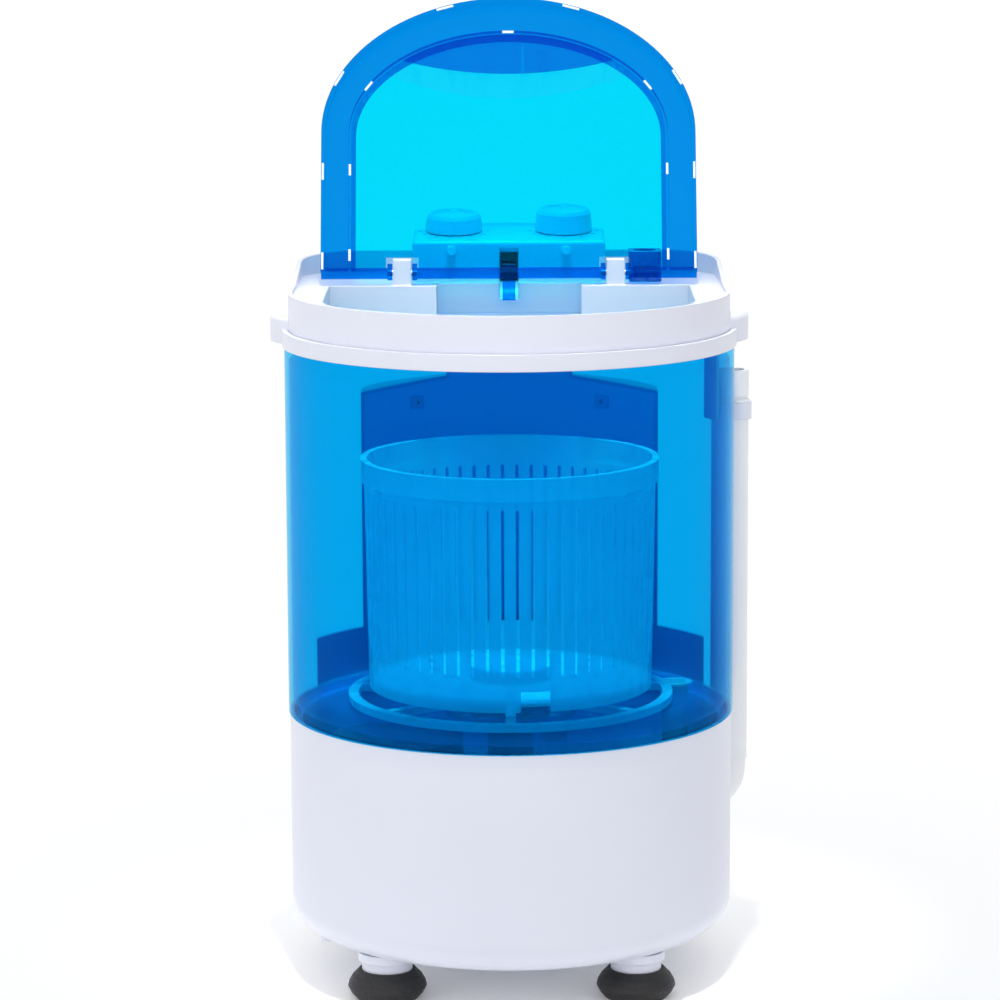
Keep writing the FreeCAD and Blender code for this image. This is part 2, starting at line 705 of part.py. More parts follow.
def drain_elbow():
    """The elbow outside the base that turns the drain upwards into the hose."""
    way = polar(1.0, DRAIN_AZIMUTH)
    start = way * (BASE_R - 3.0) + V(0, 0, DRAIN_Z)
    corner = way * HOSE_AXIS_R + V(0, 0, DRAIN_Z)
    top = way * HOSE_AXIS_R + V(0, 0, HOSE_START_Z)
    spigot_top = top + V(0, 0, 14.0)
    bend_r = HOSE_AXIS_R - BASE_R + 1.0
    body = round_rod([start, corner, top], bend_r, 12.0)
    spigot = disc(HOSE_BORE_R, HOSE_START_Z, spigot_top.z, top.x, top.y)
    bore = round_rod([start, corner, spigot_top], bend_r, 7.5)
    return body.fuse(spigot).cut(bore)


def drain_hose():
    """The grey-white hose that stands beside the tub, with a thicker cuff at its open end."""
    place = polar(HOSE_AXIS_R, DRAIN_AZIMUTH)
    hose = disc(HOSE_R, HOSE_START_Z, CLIP_Z + 14.0, place.x, place.y)
    waist = disc(HOSE_R - 1.0, CLIP_Z + 14.0, CLIP_Z + 16.0, place.x, place.y)
    cuff = disc(HOSE_R, CLIP_Z + 16.0, HOSE_END_Z, place.x, place.y)
    return hose.fuse([waist, cuff]).cut(disc(HOSE_BORE_R, HOSE_START_Z, HOSE_END_Z, place.x, place.y))


def hose_clip():
    """The ring and strap that hang the hose from the collar flange."""
    place = polar(HOSE_AXIS_R, DRAIN_AZIMUTH)
    ring = tube(HOSE_R + 2.0, HOSE_R, CLIP_Z, CLIP_Z + 12.0, place.x, place.y)
    strap = block(TUB_R + 0.3, TUB_R + 2.8, -9.0, 9.0, CLIP_Z, TUB_TOP_Z)
    strap = turned(strap, DRAIN_AZIMUTH).cut(disc(TUB_R + 0.3, 0, FAR))
    strap = strap.cut(disc(HOSE_R, CLIP_Z, HOSE_END_Z, place.x, place.y))
    return ring.fuse(strap).cut(disc(TUB_R + 0.3, CLIP_Z, FAR)).removeSplitter()


# ---- collar, tray and rear cover ----

def opening_solid(grow, z0, z1):
    """The mouth of the machine: an arch in front and a recess for the lid tab behind."""
    arch = arch_outline(
        OPENING_HALF_WIDTH + grow, LID_STRAIGHT_Y, OPENING_FRONT_Y - grow, OPENING_REAR_Y + grow,
    )
    recess = block(-RECESS_HALF_WIDTH - grow, RECESS_HALF_WIDTH + grow, 0.0, RECESS_Y + grow, z0, z1)
    return prism(arch, z0, z1).fuse(recess).removeSplitter()


def tab_sweep():
    """Room swept by the lid tab, with clearance."""
    return Part.makeCylinder(
        TAB_REACH + 2.5, 2 * TAB_HALF_WIDTH + 4.0, V(-TAB_HALF_WIDTH - 2.0, HINGE_Y, HINGE_Z), X_AXIS,
    )


def tab_trough():
    """The trough behind the recess that the lid tab swings through."""
    half = TAB_HALF_WIDTH + 3.5
    bowl = Part.makeCylinder(TAB_REACH + 4.0, 2 * half, V(-half, HINGE_Y, HINGE_Z), X_AXIS)
    return bowl.common(block(-half, half, RECESS_Y, FAR, APRON_BOTTOM_Z, DECK_Z))


def handle():
    """The finger lip on the right side, hollow underneath."""
    depth = HANDLE_X - COLLAR_R
    radius = (HANDLE_LENGTH ** 2 / 4 + depth ** 2) / (2 * depth)
    centre_x = HANDLE_X - radius
    lip = disc(radius, HANDLE_BOTTOM_Z, HANDLE_TOP_Z, centre_x, HANDLE_Y)
    hollow = disc(radius - 2.5, HANDLE_BOTTOM_Z, HANDLE_TOP_Z - 3.0, centre_x, HANDLE_Y)
    outside = block(COLLAR_R - 2.0, FAR, -FAR, FAR, HANDLE_BOTTOM_Z, HANDLE_TOP_Z)
    lip = lip.makeFillet(4.0, [lip.Edges[0]])
    lip = lip.common(outside).cut(disc(SPIGOT_R + 0.2, 0, SPIGOT_TOP_Z))
    return lip.cut(hollow.cut(disc(FLANGE_R, 0, FLANGE_TOP_Z)))


def lug():
    """The right hinge lug, bored for the lid pin."""
    width = LUG_OUTER_X - LUG_INNER_X
    post = block(
        LUG_INNER_X, LUG_OUTER_X, HINGE_Y - LUG_HALF_DEPTH, HINGE_Y + LUG_HALF_DEPTH,
        DECK_Z - PLATE, LUG_TOP_Z,
    )
    bore = Part.makeCylinder(HINGE_PIN_R + RUNNING_FIT, width, V(LUG_INNER_X, HINGE_Y, HINGE_Z), X_AXIS)
    return post.cut(bore)


def tray_screw_places():
    """Screw centres for the tray under the controls."""
    return [V(x, y, 0) for x, y in ((-112.0, 80.0), (-50.0, 128.0), (50.0, 128.0), (112.0, 80.0))]


def top_collar():
    """The white collar: flange, rising rim, deck, apron round the mouth, lugs and two handles."""
    outline = d_outline(COLLAR_R, COLLAR_REAR_Y, COLLAR_CORNER_R)
    inside = d_outline(
        COLLAR_R - COLLAR_WALL, COLLAR_REAR_Y - COLLAR_WALL, COLLAR_CORNER_R - COLLAR_WALL,
    )
    wall = prism(outline, SPIGOT_TOP_Z, RIM_REAR_Z).cut(prism(inside, SPIGOT_TOP_Z, RIM_REAR_Z))
    above_rim = side_prism(
        [(-FAR, RIM_Z), (RIM_RISE_Y, RIM_Z), (COLLAR_REAR_Y, RIM_REAR_Z), (FAR, RIM_REAR_Z), (FAR, FAR * 2),
         (-FAR, FAR * 2)],
        -FAR, FAR,
    )
    wall = wall.cut(above_rim)
    deck = prism(inside, DECK_Z - PLATE, DECK_Z)
    apron = opening_solid(PLATE, APRON_BOTTOM_Z, DECK_Z)
    floor = prism(outline, SPIGOT_TOP_Z, FLANGE_TOP_Z)
    floor = floor.cut(disc(COLLAR_R - COLLAR_WALL, SPIGOT_TOP_Z, FLANGE_TOP_Z))
    flange = tube(FLANGE_R, SPIGOT_R + 0.2, TUB_TOP_Z, FLANGE_TOP_Z)
    bosses = [disc(4.0, APRON_BOTTOM_Z, DECK_Z, p.x, p.y) for p in tray_screw_places()]
    boss_holes = [disc(1.5, APRON_BOTTOM_Z, DECK_Z - 6.0, p.x, p.y) for p in tray_screw_places()]
    solid = wall.fuse([deck, apron, floor, flange, tab_trough()] + bosses)
    solid = solid.cut([
        opening_solid(0.0, APRON_BOTTOM_Z, DECK_Z),
        block(-58.0, 58.0, 92.0, 126.0, DECK_Z - PLATE, DECK_Z),
        block(
            WIRE_X - WIRE_ROOM, WIRE_X + WIRE_ROOM, WIRE_Y - WIRE_R - 0.3, WIRE_Y + WIRE_R + 0.3,
            TUB_TOP_Z, DECK_Z - 12.0,
        ),
        tab_sweep(),
    ] + boss_holes)
    return solid.fuse([lug(), mirrored(lug()), handle(), mirrored(handle())]).removeSplitter()


def control_tray():
    """The plate that closes the control space from below."""
    plate = disc(TRAY_R, TRAY_Z, APRON_BOTTOM_Z)
    mouth = arch_outline(OPENING_HALF_WIDTH, LID_STRAIGHT_Y, OPENING_FRONT_Y, OPENING_REAR_Y)
    side = prism(mouth, TRAY_Z, APRON_BOTTOM_Z)
    recess = block(-RECESS_HALF_WIDTH, RECESS_HALF_WIDTH, -FAR, RECESS_Y, TRAY_Z, APRON_BOTTOM_Z)
    front = block(-FAR, FAR, -FAR, OPENING_REAR_Y, TRAY_Z, APRON_BOTTOM_Z)
    holes = [disc(1.5, TRAY_Z, APRON_BOTTOM_Z, p.x, p.y) for p in tray_screw_places()]
    return plate.cut([side, recess, front] + holes)


def tray_screws():
    """Screws up through the tray into the collar."""
    return Part.makeCompound([screw(p.x, p.y, TRAY_Z, 3.0, 2.0, 1.5, 454.0) for p in tray_screw_places()])


def rear_cover_block(inset, top_z, neck_top_z):
    """The outline of the rear cover moved inwards by a wall."""
    half = COVER_HALF_WIDTH - inset
    neck = NECK_HALF_WIDTH - inset
    wide = block(-half, half, 80.0, COVER_REAR_Y - inset, SKIRT_TOP_Z, FAR)
    corners = [edge for edge in wide.Edges if is_rear_upright(edge)]
    wide = wide.makeFillet(COVER_CORNER_R - inset, corners)
    roof = [
        V(-half, 0, top_z), V(-neck, 0, top_z + SHOULDER_RISE), V(neck, 0, top_z + SHOULDER_RISE),
        V(half, 0, top_z), V(half, 0, 0), V(-half, 0, 0),
    ]
    wide = wide.common(Part.Face(Part.makePolygon(roof + roof[:1])).extrude(V(0, FAR, 0)))
    narrow = block(-neck, neck, 80.0, COVER_REAR_Y - inset, SKIRT_TOP_Z, neck_top_z)
    return wide.fuse(narrow).removeSplitter()


def is_rear_upright(edge):
    """True for the two upright edges at the back of a box."""
    box = edge.BoundBox
    return box.ZLength > 1.0 and box.YMin > 100.0


def rear_cover():
    """The white duct down the back of the tub that hides the wiring."""
    solid = rear_cover_block(0.0, COVER_SHOULDER_Z, TUB_TOP_Z)
    hollow = rear_cover_block(COVER_WALL, COVER_SHOULDER_Z - COVER_WALL, TUB_TOP_Z)
    hugging = disc(TUB_R + 0.3, SKIRT_TOP_Z, TUB_TOP_Z)
    places = cover_screw_places()
    holes = [Part.makeCylinder(1.6, 30.0, V(x, COVER_REAR_Y - 20.0, z), Y_AXIS) for x, z in places]
    heads = [Part.makeCylinder(3.0, 1.5, V(x, COVER_REAR_Y, z), -Y_AXIS) for x, z in places]
    pads = [block(x - 5.0, x + 5.0, 130.0, COVER_REAR_Y, z - 5.0, z + 5.0) for x, z in places]
    return solid.cut(hollow).fuse(pads).cut([hugging] + holes + heads).removeSplitter()


def cover_liner():
    """The thin white sheet that closes the duct on the tub side."""
    sheet = tube(TUB_R + 0.3 + COVER_SKIN, TUB_R + 0.3, SKIRT_TOP_Z, TUB_TOP_Z)
    room = rear_cover_block(COVER_WALL, COVER_SHOULDER_Z - COVER_WALL, TUB_TOP_Z)
    pads = [block(x - 5.0, x + 5.0, 130.0, COVER_REAR_Y, z - 5.0, z + 5.0) for x, z in cover_screw_places()]
    return sheet.common(room).cut(pads)


def cover_screw_places():
    """Screw centres (x, z) on the rear cover."""
    return [(x, z) for x in (-66.0, 66.0) for z in (222.0, 372.0)]


def cover_screws():
    """Short screws holding the rear cover."""
    screws = []
    for x, z in cover_screw_places():
        head = Part.makeCylinder(3.0, 1.5, V(x, COVER_REAR_Y, z), -Y_AXIS)
        shank = Part.makeCylinder(1.6, 14.0, V(x, COVER_REAR_Y, z), -Y_AXIS)
        screws.append(head.fuse(shank).removeSplitter())
    return Part.makeCompound(screws)


def cord_gland():
    """The sleeve where the mains lead enters the base."""
    back = COVER_REAR_Y - COVER_WALL
    sleeve = Part.makeCylinder(7.0, 6.0, V(GLAND_X, back - 4.0, GLAND_Z), Y_AXIS)
    nut = Part.makeCylinder(9.0, 4.0, V(GLAND_X, back - 4.0, GLAND_Z), Y_AXIS)
    bore = Part.makeCylinder(3.5, 20.0, V(GLAND_X, back - 10.0, GLAND_Z), Y_AXIS)
    return sleeve.fuse(nut).cut(bore).removeSplitter()


# ---- controls ----

def control_solid(inset, drop):
    """The control block, moved inwards and with its sloping top lowered."""
    half = BLOCK_HALF_WIDTH - inset
    front_y = BLOCK_FRONT_Y + inset
    outline = Part.Wire([
        Part.makeLine(V(-half, front_y, 0), V(half, front_y, 0)),
        Part.makeLine(V(half, front_y, 0), V(half, BLOCK_SIDE_Y, 0)),
        Part.Arc(V(half, BLOCK_SIDE_Y, 0), V(0, BLOCK_REAR_Y - inset, 0), V(-half, BLOCK_SIDE_Y, 0)).toShape(),
        Part.makeLine(V(-half, BLOCK_SIDE_Y, 0), V(-half, front_y, 0)),
    ])
    below_top = side_prism(
        [(0, 0), (0, panel_height(0) - drop), (FAR, panel_height(FAR) - drop), (FAR, 0)], -FAR, FAR,
    )
    return prism(outline, DECK_Z, FAR * 2).common(below_top)


def control_panel():
    """The control block with its sloping top, two shaft holes and a slot for the lid tab."""
    shell = control_solid(0.0, 0.0)
    top_edges = [edge for edge in shell.Edges if edge.BoundBox.ZMin > BLOCK_FRONT_Z - 1.0]
    shell = shell.makeFillet(3.0, top_edges)
    holes = []
    for x in (-KNOB_X, KNOB_X):
        holes.append(on_panel(disc(DIAL_SHAFT_R + 0.5, -10.0, 10.0), x))
    for x in (-40.0, 40.0):
        holes.append(Part.makeCylinder(2.0, PLATE, V(x, BLOCK_FRONT_Y, DECK_Z + 22.0), Y_AXIS))
    return shell.cut([control_solid(PLATE, PLATE), tab_sweep()] + holes)


def lid_bumpers():
    """Two rubber buttons on the block that the open lid leans towards."""
    bumpers = []
    for x in (-40.0, 40.0):
        button = Part.makeCylinder(3.0, 3.3, V(x, BLOCK_FRONT_Y, DECK_Z + 22.0), -Y_AXIS)
        stalk = Part.makeCylinder(2.0, PLATE, V(x, BLOCK_FRONT_Y, DECK_Z + 22.0), Y_AXIS)
        bumpers.append(button.fuse(stalk).removeSplitter())
    return Part.makeCompound(bumpers)


def dial_shaft(x, height):
    """The short shaft under a knob of some height."""
    return on_panel(disc(DIAL_SHAFT_R, -14.0, height - 4.0), x)


def knob(x, height):
    """A round knob with a skirt, a gently tapered grip, a dished top and a pointer ridge."""
    dish = height - 1.5
    body = lathe([
        (0.0, 0.8), (KNOB_R, 0.8), (KNOB_R, 4.0), (KNOB_R - 1.0, height - 2.5),
        (KNOB_R - 3.0, height), (KNOB_R - 4.5, height), (KNOB_R - 6.0, dish), (0.0, dish),
    ])
    pointer = block(-1.2, 1.2, -KNOB_R + 5.0, -4.0, dish, height - 0.3)
    bore = disc(DIAL_SHAFT_R, 0.8, height - 4.0)
    return on_panel(body.fuse(pointer).cut(bore).removeSplitter(), x)


def switch_body(x, half_width, depth):
    """A box under the panel with a bore for a dial shaft."""
    body = block(-half_width, half_width, -12.0, 12.0, -PLATE - depth, -PLATE)
    bore = disc(DIAL_SHAFT_R + RUNNING_FIT, -15.0, 0.0)
    return on_panel(body.cut(bore), x)


def timer_shaft():
    """Shaft of the timer."""
    return dial_shaft(-KNOB_X, TIMER_KNOB_HEIGHT)


def timer_knob():
    """Knob of the timer, on the left."""
    return knob(-KNOB_X, TIMER_KNOB_HEIGHT)


def timer_unit():
    """The wind-up timer."""
    return switch_body(-KNOB_X, 18.0, 25.0)


def selector_shaft():
    """Shaft of the selector."""
    return dial_shaft(KNOB_X, SELECTOR_KNOB_HEIGHT)


def selector_knob():
    """Knob of the programme selector, on the right."""
    return knob(KNOB_X, SELECTOR_KNOB_HEIGHT)


def selector_switch():
    """The rotary programme switch."""
    return switch_body(KNOB_X, 14.0, 20.0)


def water_inlet():
    """The spout beside the right lug: a round socket on top and a mouth towards the tub."""
    body = block(83.5, 106.0, 79.0, 105.0, DECK_Z, DECK_Z + 21.0)
    uprights = [edge for edge in body.Edges if edge.BoundBox.ZLength > 10.0]
    body = body.makeFillet(3.0, uprights)
    socket = disc(8.0, DECK_Z + 6.0, DECK_Z + 21.0, 94.75, 93.0)
    mouth = block(87.0, 102.5, 75.0, 93.0, DECK_Z + 3.0, DECK_Z + 11.0)
    return body.cut([socket, mouth])


def terminal_block():
    """The block where the wires meet, on the tray."""
    return block(WIRE_X - 12.0, WIRE_X + 12.0, 104.0, 122.0, APRON_BOTTOM_Z, APRON_BOTTOM_Z + 10.0)


def wiring_harness():
    """Three wires from the terminal block down the rear cover into the base."""
    wires = []
    for n in (-1, 0, 1):
        x = WIRE_X + WIRE_PITCH * n
        path = [V(x, 122.0, APRON_BOTTOM_Z + 5.0), V(x, WIRE_Y, APRON_BOTTOM_Z + 5.0), V(x, WIRE_Y, 142.0),
                V(x, 118.0, 142.0)]
        wires.append(round_rod(path, 5.0, WIRE_R))
    return Part.makeCompound(wires)


# ---- lid ----

def lid_arch(inset, rear_y, z0, z1):
    """A plate with the lid's outline moved inwards."""
    front_y = LID_FRONT_Y + inset * LID_FRONT_FACTOR
    return prism(arch_outline(LID_HALF_WIDTH - inset, LID_STRAIGHT_Y, front_y, rear_y), z0, z1)


def lid_knuckles():
    """The two cheeks that hold the right hinge pin, one on either side of the lug."""
    cheeks = []
    for x0, x1 in ((LUG_INNER_X - 4.0, LUG_INNER_X - 0.6), (LUG_OUTER_X + 0.6, LUG_OUTER_X + 4.0)):
        eye = Part.makeCylinder(5.0, x1 - x0, V(x0, HINGE_Y, HINGE_Z), X_AXIS)
        web = block(x0, x1, HINGE_Y - 6.0, HINGE_Y, HINGE_Z - 3.0, LID_TOP_Z)
        cheeks.append(eye.fuse(web))
    return cheeks[0].fuse(cheeks[1])


def hinge_pin():
    """The right hinge pin, as long as the knuckles and the lug together."""
    start = LUG_INNER_X - 4.0
    length = LUG_OUTER_X + 4.0 - start
    return Part.makeCylinder(HINGE_PIN_R, length, V(start, HINGE_Y, HINGE_Z), X_AXIS)


def lid_pad(x, y, turn, z, length):
    """One buffer pad hanging from height z, at a place on the closed lid."""
    pad = block(-length / 2, length / 2, -PAD_WIDTH / 2, PAD_WIDTH / 2, z - PAD_THICKNESS, z)
    pad.rotate(ORIGIN, Z_AXIS, turn)
    pad.translate(V(x, y, 0))
    return pad


def pad_row(inset, z, length, angles, runs):
    """The pads along one edge: some round the front ellipse, some down the straight sides."""
    half = LID_HALF_WIDTH - inset
    depth = LID_STRAIGHT_Y - LID_FRONT_Y - inset * LID_FRONT_FACTOR
    pads = []
    for angle in angles:
        turn = math.radians(angle)
        x = half * math.cos(turn)
        y = LID_STRAIGHT_Y + depth * math.sin(turn)
        along = math.degrees(math.atan2(depth * math.cos(turn), -half * math.sin(turn)))
        pads.append(lid_pad(x, y, along, z, length))
        if abs(x) > length:
            pads.append(lid_pad(-x, y, -along, z, length))
    for y in runs:
        pads.append(lid_pad(half, y, 90.0, z, length))
        pads.append(lid_pad(-half, y, 90.0, z, length))
    return pads


def lid_pads():
    """Pale buffer pads stuck on the edges of the skirt and the ridge."""
    ridge_z = LID_TOP_Z - LID_TOP - RIDGE_DEPTH
    outer = pad_row(LID_SKIRT / 2, LID_BOTTOM_Z, OUTER_PAD_LENGTH, OUTER_PAD_ANGLES, OUTER_PAD_Y)
    inner = pad_row(LID_BAND + RIDGE / 2, ridge_z, INNER_PAD_LENGTH, INNER_PAD_ANGLES, INNER_PAD_Y)
    return opened(Part.makeCompound(outer + inner))


def lid_frame():
    """The deep blue horseshoe frame of the lid, with its skirt, ridge, hinge rail, knuckles and tab."""
    plate_z = LID_TOP_Z - LID_TOP
    window_edge = LID_BAND + RIDGE
    rail_end = LID_RAIL_Y + LID_SKIRT
    plate = lid_arch(0.0, LID_REAR_Y, plate_z, LID_TOP_Z)
    plate = plate.cut(lid_arch(window_edge + 3.0, LID_RAIL_Y, plate_z, LID_TOP_Z))
    skirt = lid_arch(0.0, rail_end, LID_BOTTOM_Z, plate_z)
    skirt = skirt.cut(lid_arch(LID_SKIRT, LID_RAIL_Y, LID_BOTTOM_Z, plate_z))
    ridge = lid_arch(LID_BAND, LID_RAIL_Y, plate_z - RIDGE_DEPTH, plate_z)
    ridge = ridge.cut(lid_arch(window_edge, LID_RAIL_Y, plate_z - RIDGE_DEPTH, plate_z))
    frame = plate.fuse([skirt, ridge]).cut([lug_notch(), mirrored(lug_notch())])
    frame = frame.fuse([lid_knuckles(), mirrored(lid_knuckles())])
    frame = opened(frame.cut([hinge_pin(), mirrored(hinge_pin())]))
    tab = side_prism(
        [
            (HINGE_Y + 3.0, HINGE_Z + 6.0), (HINGE_Y + 1.5, HINGE_Z - TAB_REACH),
            (HINGE_Y - 1.5, HINGE_Z - TAB_REACH), (HINGE_Y - 3.0, HINGE_Z + 6.0),
        ],
        -TAB_HALF_WIDTH, TAB_HALF_WIDTH,
    )
    return frame.fuse(tab).removeSplitter()


def lug_notch():
    """Room for the right lug in the closed lid."""
    return block(
        LUG_INNER_X - 0.6, LUG_OUTER_X + 0.6, HINGE_Y - LUG_NOTCH, LID_REAR_Y, LID_BOTTOM_Z, LID_TOP_Z,
    )


def lid_window():
    """The light clear pane inside the frame, down to the hinge rail."""
    plate_z = LID_TOP_Z - LID_TOP
    inset = LID_BAND + RIDGE + 0.2
    pane = lid_arch(inset, LID_RAIL_Y - 0.2, plate_z - WINDOW, plate_z)
    tab_x = TAB_HALF_WIDTH + 0.5
    knuckle_room = block(
        LUG_INNER_X - 5.0, LUG_OUTER_X + 5.0, HINGE_Y - LUG_NOTCH, LID_REAR_Y, LID_BOTTOM_Z, LID_TOP_Z,
    )
    tab_room = block(-tab_x, tab_x, HINGE_Y - 9.0, LID_REAR_Y, LID_BOTTOM_Z, LID_TOP_Z)
    return opened(pane.cut([knuckle_room, mirrored(knuckle_room), tab_room]))


def grip_plate(half_chord, sag, low_y, thickness):
    """The far end of the window beyond a shallow arc, as a plate under the pane."""
    high = LID_TOP_Z - LID_TOP - WINDOW
    radius = (half_chord ** 2 + sag ** 2) / (2 * sag)
    window = lid_arch(LID_BAND + RIDGE + 0.2, 0.0, high - thickness, high)
    return window.common(disc(radius, high - thickness, high, 0, low_y - radius))


def lid_grip():
    """The raised grip at the far end of the window."""
    return opened(grip_plate(GRIP_HALF_CHORD, GRIP_SAG, GRIP_LOW_Y, GRIP_THICKNESS))


def lid_step():
    """The thin step between the grip and the pane."""
    grip = grip_plate(GRIP_HALF_CHORD, GRIP_SAG, GRIP_LOW_Y, GRIP_THICKNESS)
    return opened(grip_plate(STEP_HALF_CHORD, STEP_SAG, STEP_LOW_Y, STEP_THICKNESS).cut(grip))


def hinge_pins():
    """Two steel pins pressed into the lid and turning in the lugs."""
    return Part.makeCompound([hinge_pin(), mirrored(hinge_pin())])


SUB_PARTS = [
    rubber_feet, foot_screws, base_shell, rear_skirt, bottom_cover, bottom_screws, wash_tub, drain_strainer,
    bearing_housing, shaft_bearings, shaft_seal, housing_screws, drive_shaft, large_pulley, pulley_nut,
    small_pulley, drive_belt, motor_grommets, motor_bracket, motor_bolts, motor_can, motor_windings,
    motor_rotor, capacitor, capacitor_clamp, pulsator, pulsator_screw, spin_basket, drain_pipe,
    drain_elbow, drain_hose, hose_clip, top_collar, control_tray, tray_screws, rear_cover, cover_liner,
    cover_screws, cord_gland, control_panel, lid_bumpers, timer_shaft, timer_knob, timer_unit,
    selector_shaft, selector_knob, selector_switch, water_inlet, terminal_block, wiring_harness,
    lid_frame, lid_window, lid_grip, lid_step, lid_pads, hinge_pins,
]

os.makedirs("parts", exist_ok=True)
for sub_part in SUB_PARTS:
    sub_part().exportStep("parts/" + sub_part.__name__ + ".step")
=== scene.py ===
import json
import math

import bpy
from mathutils import Euler, Matrix, Vector


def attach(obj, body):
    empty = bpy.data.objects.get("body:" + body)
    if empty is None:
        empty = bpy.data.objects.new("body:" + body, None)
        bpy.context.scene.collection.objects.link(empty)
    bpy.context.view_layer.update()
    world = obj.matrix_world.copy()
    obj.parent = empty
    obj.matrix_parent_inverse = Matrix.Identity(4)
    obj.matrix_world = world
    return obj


# Top load washing machine: finishes, floor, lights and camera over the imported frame. Metres, +Z up.

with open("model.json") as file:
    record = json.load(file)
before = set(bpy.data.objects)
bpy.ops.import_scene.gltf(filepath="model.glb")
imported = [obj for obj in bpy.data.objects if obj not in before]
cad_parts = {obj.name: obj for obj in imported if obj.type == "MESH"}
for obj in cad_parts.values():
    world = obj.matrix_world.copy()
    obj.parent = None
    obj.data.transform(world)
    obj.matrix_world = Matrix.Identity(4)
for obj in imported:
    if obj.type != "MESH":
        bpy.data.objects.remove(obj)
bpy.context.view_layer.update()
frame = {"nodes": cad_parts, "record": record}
NODES = frame["nodes"]

# camera
CAMERA_DISTANCE = 2.551
CAMERA_HEIGHT = 0.748
CAMERA_PITCH = 9.44
CAMERA_YAW = 0.15
CAMERA_ROLL = -0.25
LENS_MM = 136.8
SENSOR_MM = 36.0

# dial marks on the sloping control panel
KNOB_X = 0.0385
KNOB_Y = 0.118
PANEL_Z = 0.49622
PANEL_SLOPE = 5.9
MARK_START = 0.0222
MARK_LENGTH = 0.0028
MARK_WIDTH = 0.0008
MARK_HEIGHT = 0.0002
MARK_ANGLES = range(-180, 1, 30)
MARK_SLOT = "grey_plastic"

# finishes
DRIFT_SCALE = 9.0
RELIEF_DEPTH = 0.0004
EDGE_RADIUS = 0.0006
SHELL_EDGE_RADIUS = 0.0012
CLEAR_GRAIN = 60.0
CLEAR_RELIEF = 0.08
CLEAR_GLOSS = 0.7
RIM_POWER = 5.0

# surround and floor
WORLD_STRENGTH = 1.0
WORLD_RIGHT_STRENGTH = 0.57
WORLD_DIM_START = 0.3
WORLD_DIM_END = 0.9
FLOOR_SIZE = 60.0
FLOOR_COLOUR = (0.98, 0.98, 0.98, 1.0)
FLOOR_GLOW = 0.1

# lights: a wide soft one at the left, and a narrow one down into the tub
KEY_PLACE = (-1.6, -1.8, 2.2)
KEY_TARGET = (0.0, 0.0, 0.3)
KEY_SIZE = 1.6
KEY_POWER = 1.0
TOP_PLACE = (0.0, -0.35, 2.4)
TOP_TARGET = (0.0, 0.0, 0.4)
TOP_SIZE = 0.2
TOP_POWER = 0.45
TOP_SPREAD = 12.0

# light paths through the layers of clear plastic
TRANSPARENT_BOUNCES = 32
LIGHT_BOUNCES = 16


# ---- material helpers ----

def new_material(name):
    """A node material with only its Principled shader and output, which come back with it."""
    material = bpy.data.materials.new(name)
    material.use_nodes = True
    tree = material.node_tree
    shader = tree.nodes["Principled BSDF"]
    output = tree.nodes["Material Output"]
    return material, tree, shader, output


def add_noise(tree, scale, detail=3.0, stretch=(1.0, 1.0, 1.0)):
    """Noise over the object's own coordinates, in metres."""
    place = tree.nodes.new("ShaderNodeTexCoord")
    mapping = tree.nodes.new("ShaderNodeMapping")
    mapping.inputs["Scale"].default_value = stretch
    noise = tree.nodes.new("ShaderNodeTexNoise")
    noise.inputs["Scale"].default_value = scale
    noise.inputs["Detail"].default_value = detail
    tree.links.new(place.outputs["Object"], mapping.inputs["Vector"])
    tree.links.new(mapping.outputs["Vector"], noise.inputs["Vector"])
    return noise.outputs["Fac"]


def remap(tree, source, low, high, start=0.3, end=0.7):
    """Stretches a value that runs from start to end to a new range."""
    node = tree.nodes.new("ShaderNodeMapRange")
    node.inputs["From Min"].default_value = start
    node.inputs["From Max"].default_value = end
    node.inputs["To Min"].default_value = low
    node.inputs["To Max"].default_value = high
    tree.links.new(source, node.inputs["Value"])
    return node.outputs["Result"]


def blend_colours(tree, factor, first, second):
    """A colour that runs between two by a factor."""
    node = tree.nodes.new("ShaderNodeMix")
    node.data_type = "RGBA"
    node.inputs["A"].default_value = (*first, 1.0)
    node.inputs["B"].default_value = (*second, 1.0)
    tree.links.new(factor, node.inputs["Factor"])
    return node.outputs["Result"]


def add_bump(tree, height, shader, strength, distance, edge_radius=0.0):
    """Surface relief, with softly rounded edges where a radius is given."""
    bump = tree.nodes.new("ShaderNodeBump")
    bump.inputs["Strength"].default_value = strength
    bump.inputs["Distance"].default_value = distance
    tree.links.new(height, bump.inputs["Height"])
    if edge_radius:
        edge = tree.nodes.new("ShaderNodeBevel")
        edge.samples = 4
        edge.inputs["Radius"].default_value = edge_radius
        tree.links.new(edge.outputs["Normal"], bump.inputs["Normal"])
    tree.links.new(bump.outputs["Normal"], shader.inputs["Normal"])


def solid_material(
        name, colours, roughness, grain, relief, metal=0.0, stretch=(1.0, 1.0, 1.0), edge=EDGE_RADIUS):
    """An opaque finish with slow colour drift, uneven gloss and fine relief."""
    material, tree, shader, _ = new_material(name)
    drift = add_noise(tree, DRIFT_SCALE)
    tree.links.new(
        blend_colours(tree, remap(tree, drift, 0.0, 1.0), *colours), shader.inputs["Base Color"])
    fine = add_noise(tree, grain, 4.0, stretch)
    tree.links.new(remap(tree, fine, *roughness), shader.inputs["Roughness"])
    add_bump(tree, fine, shader, relief, RELIEF_DEPTH, edge)
    shader.inputs["Metallic"].default_value = metal
    return material


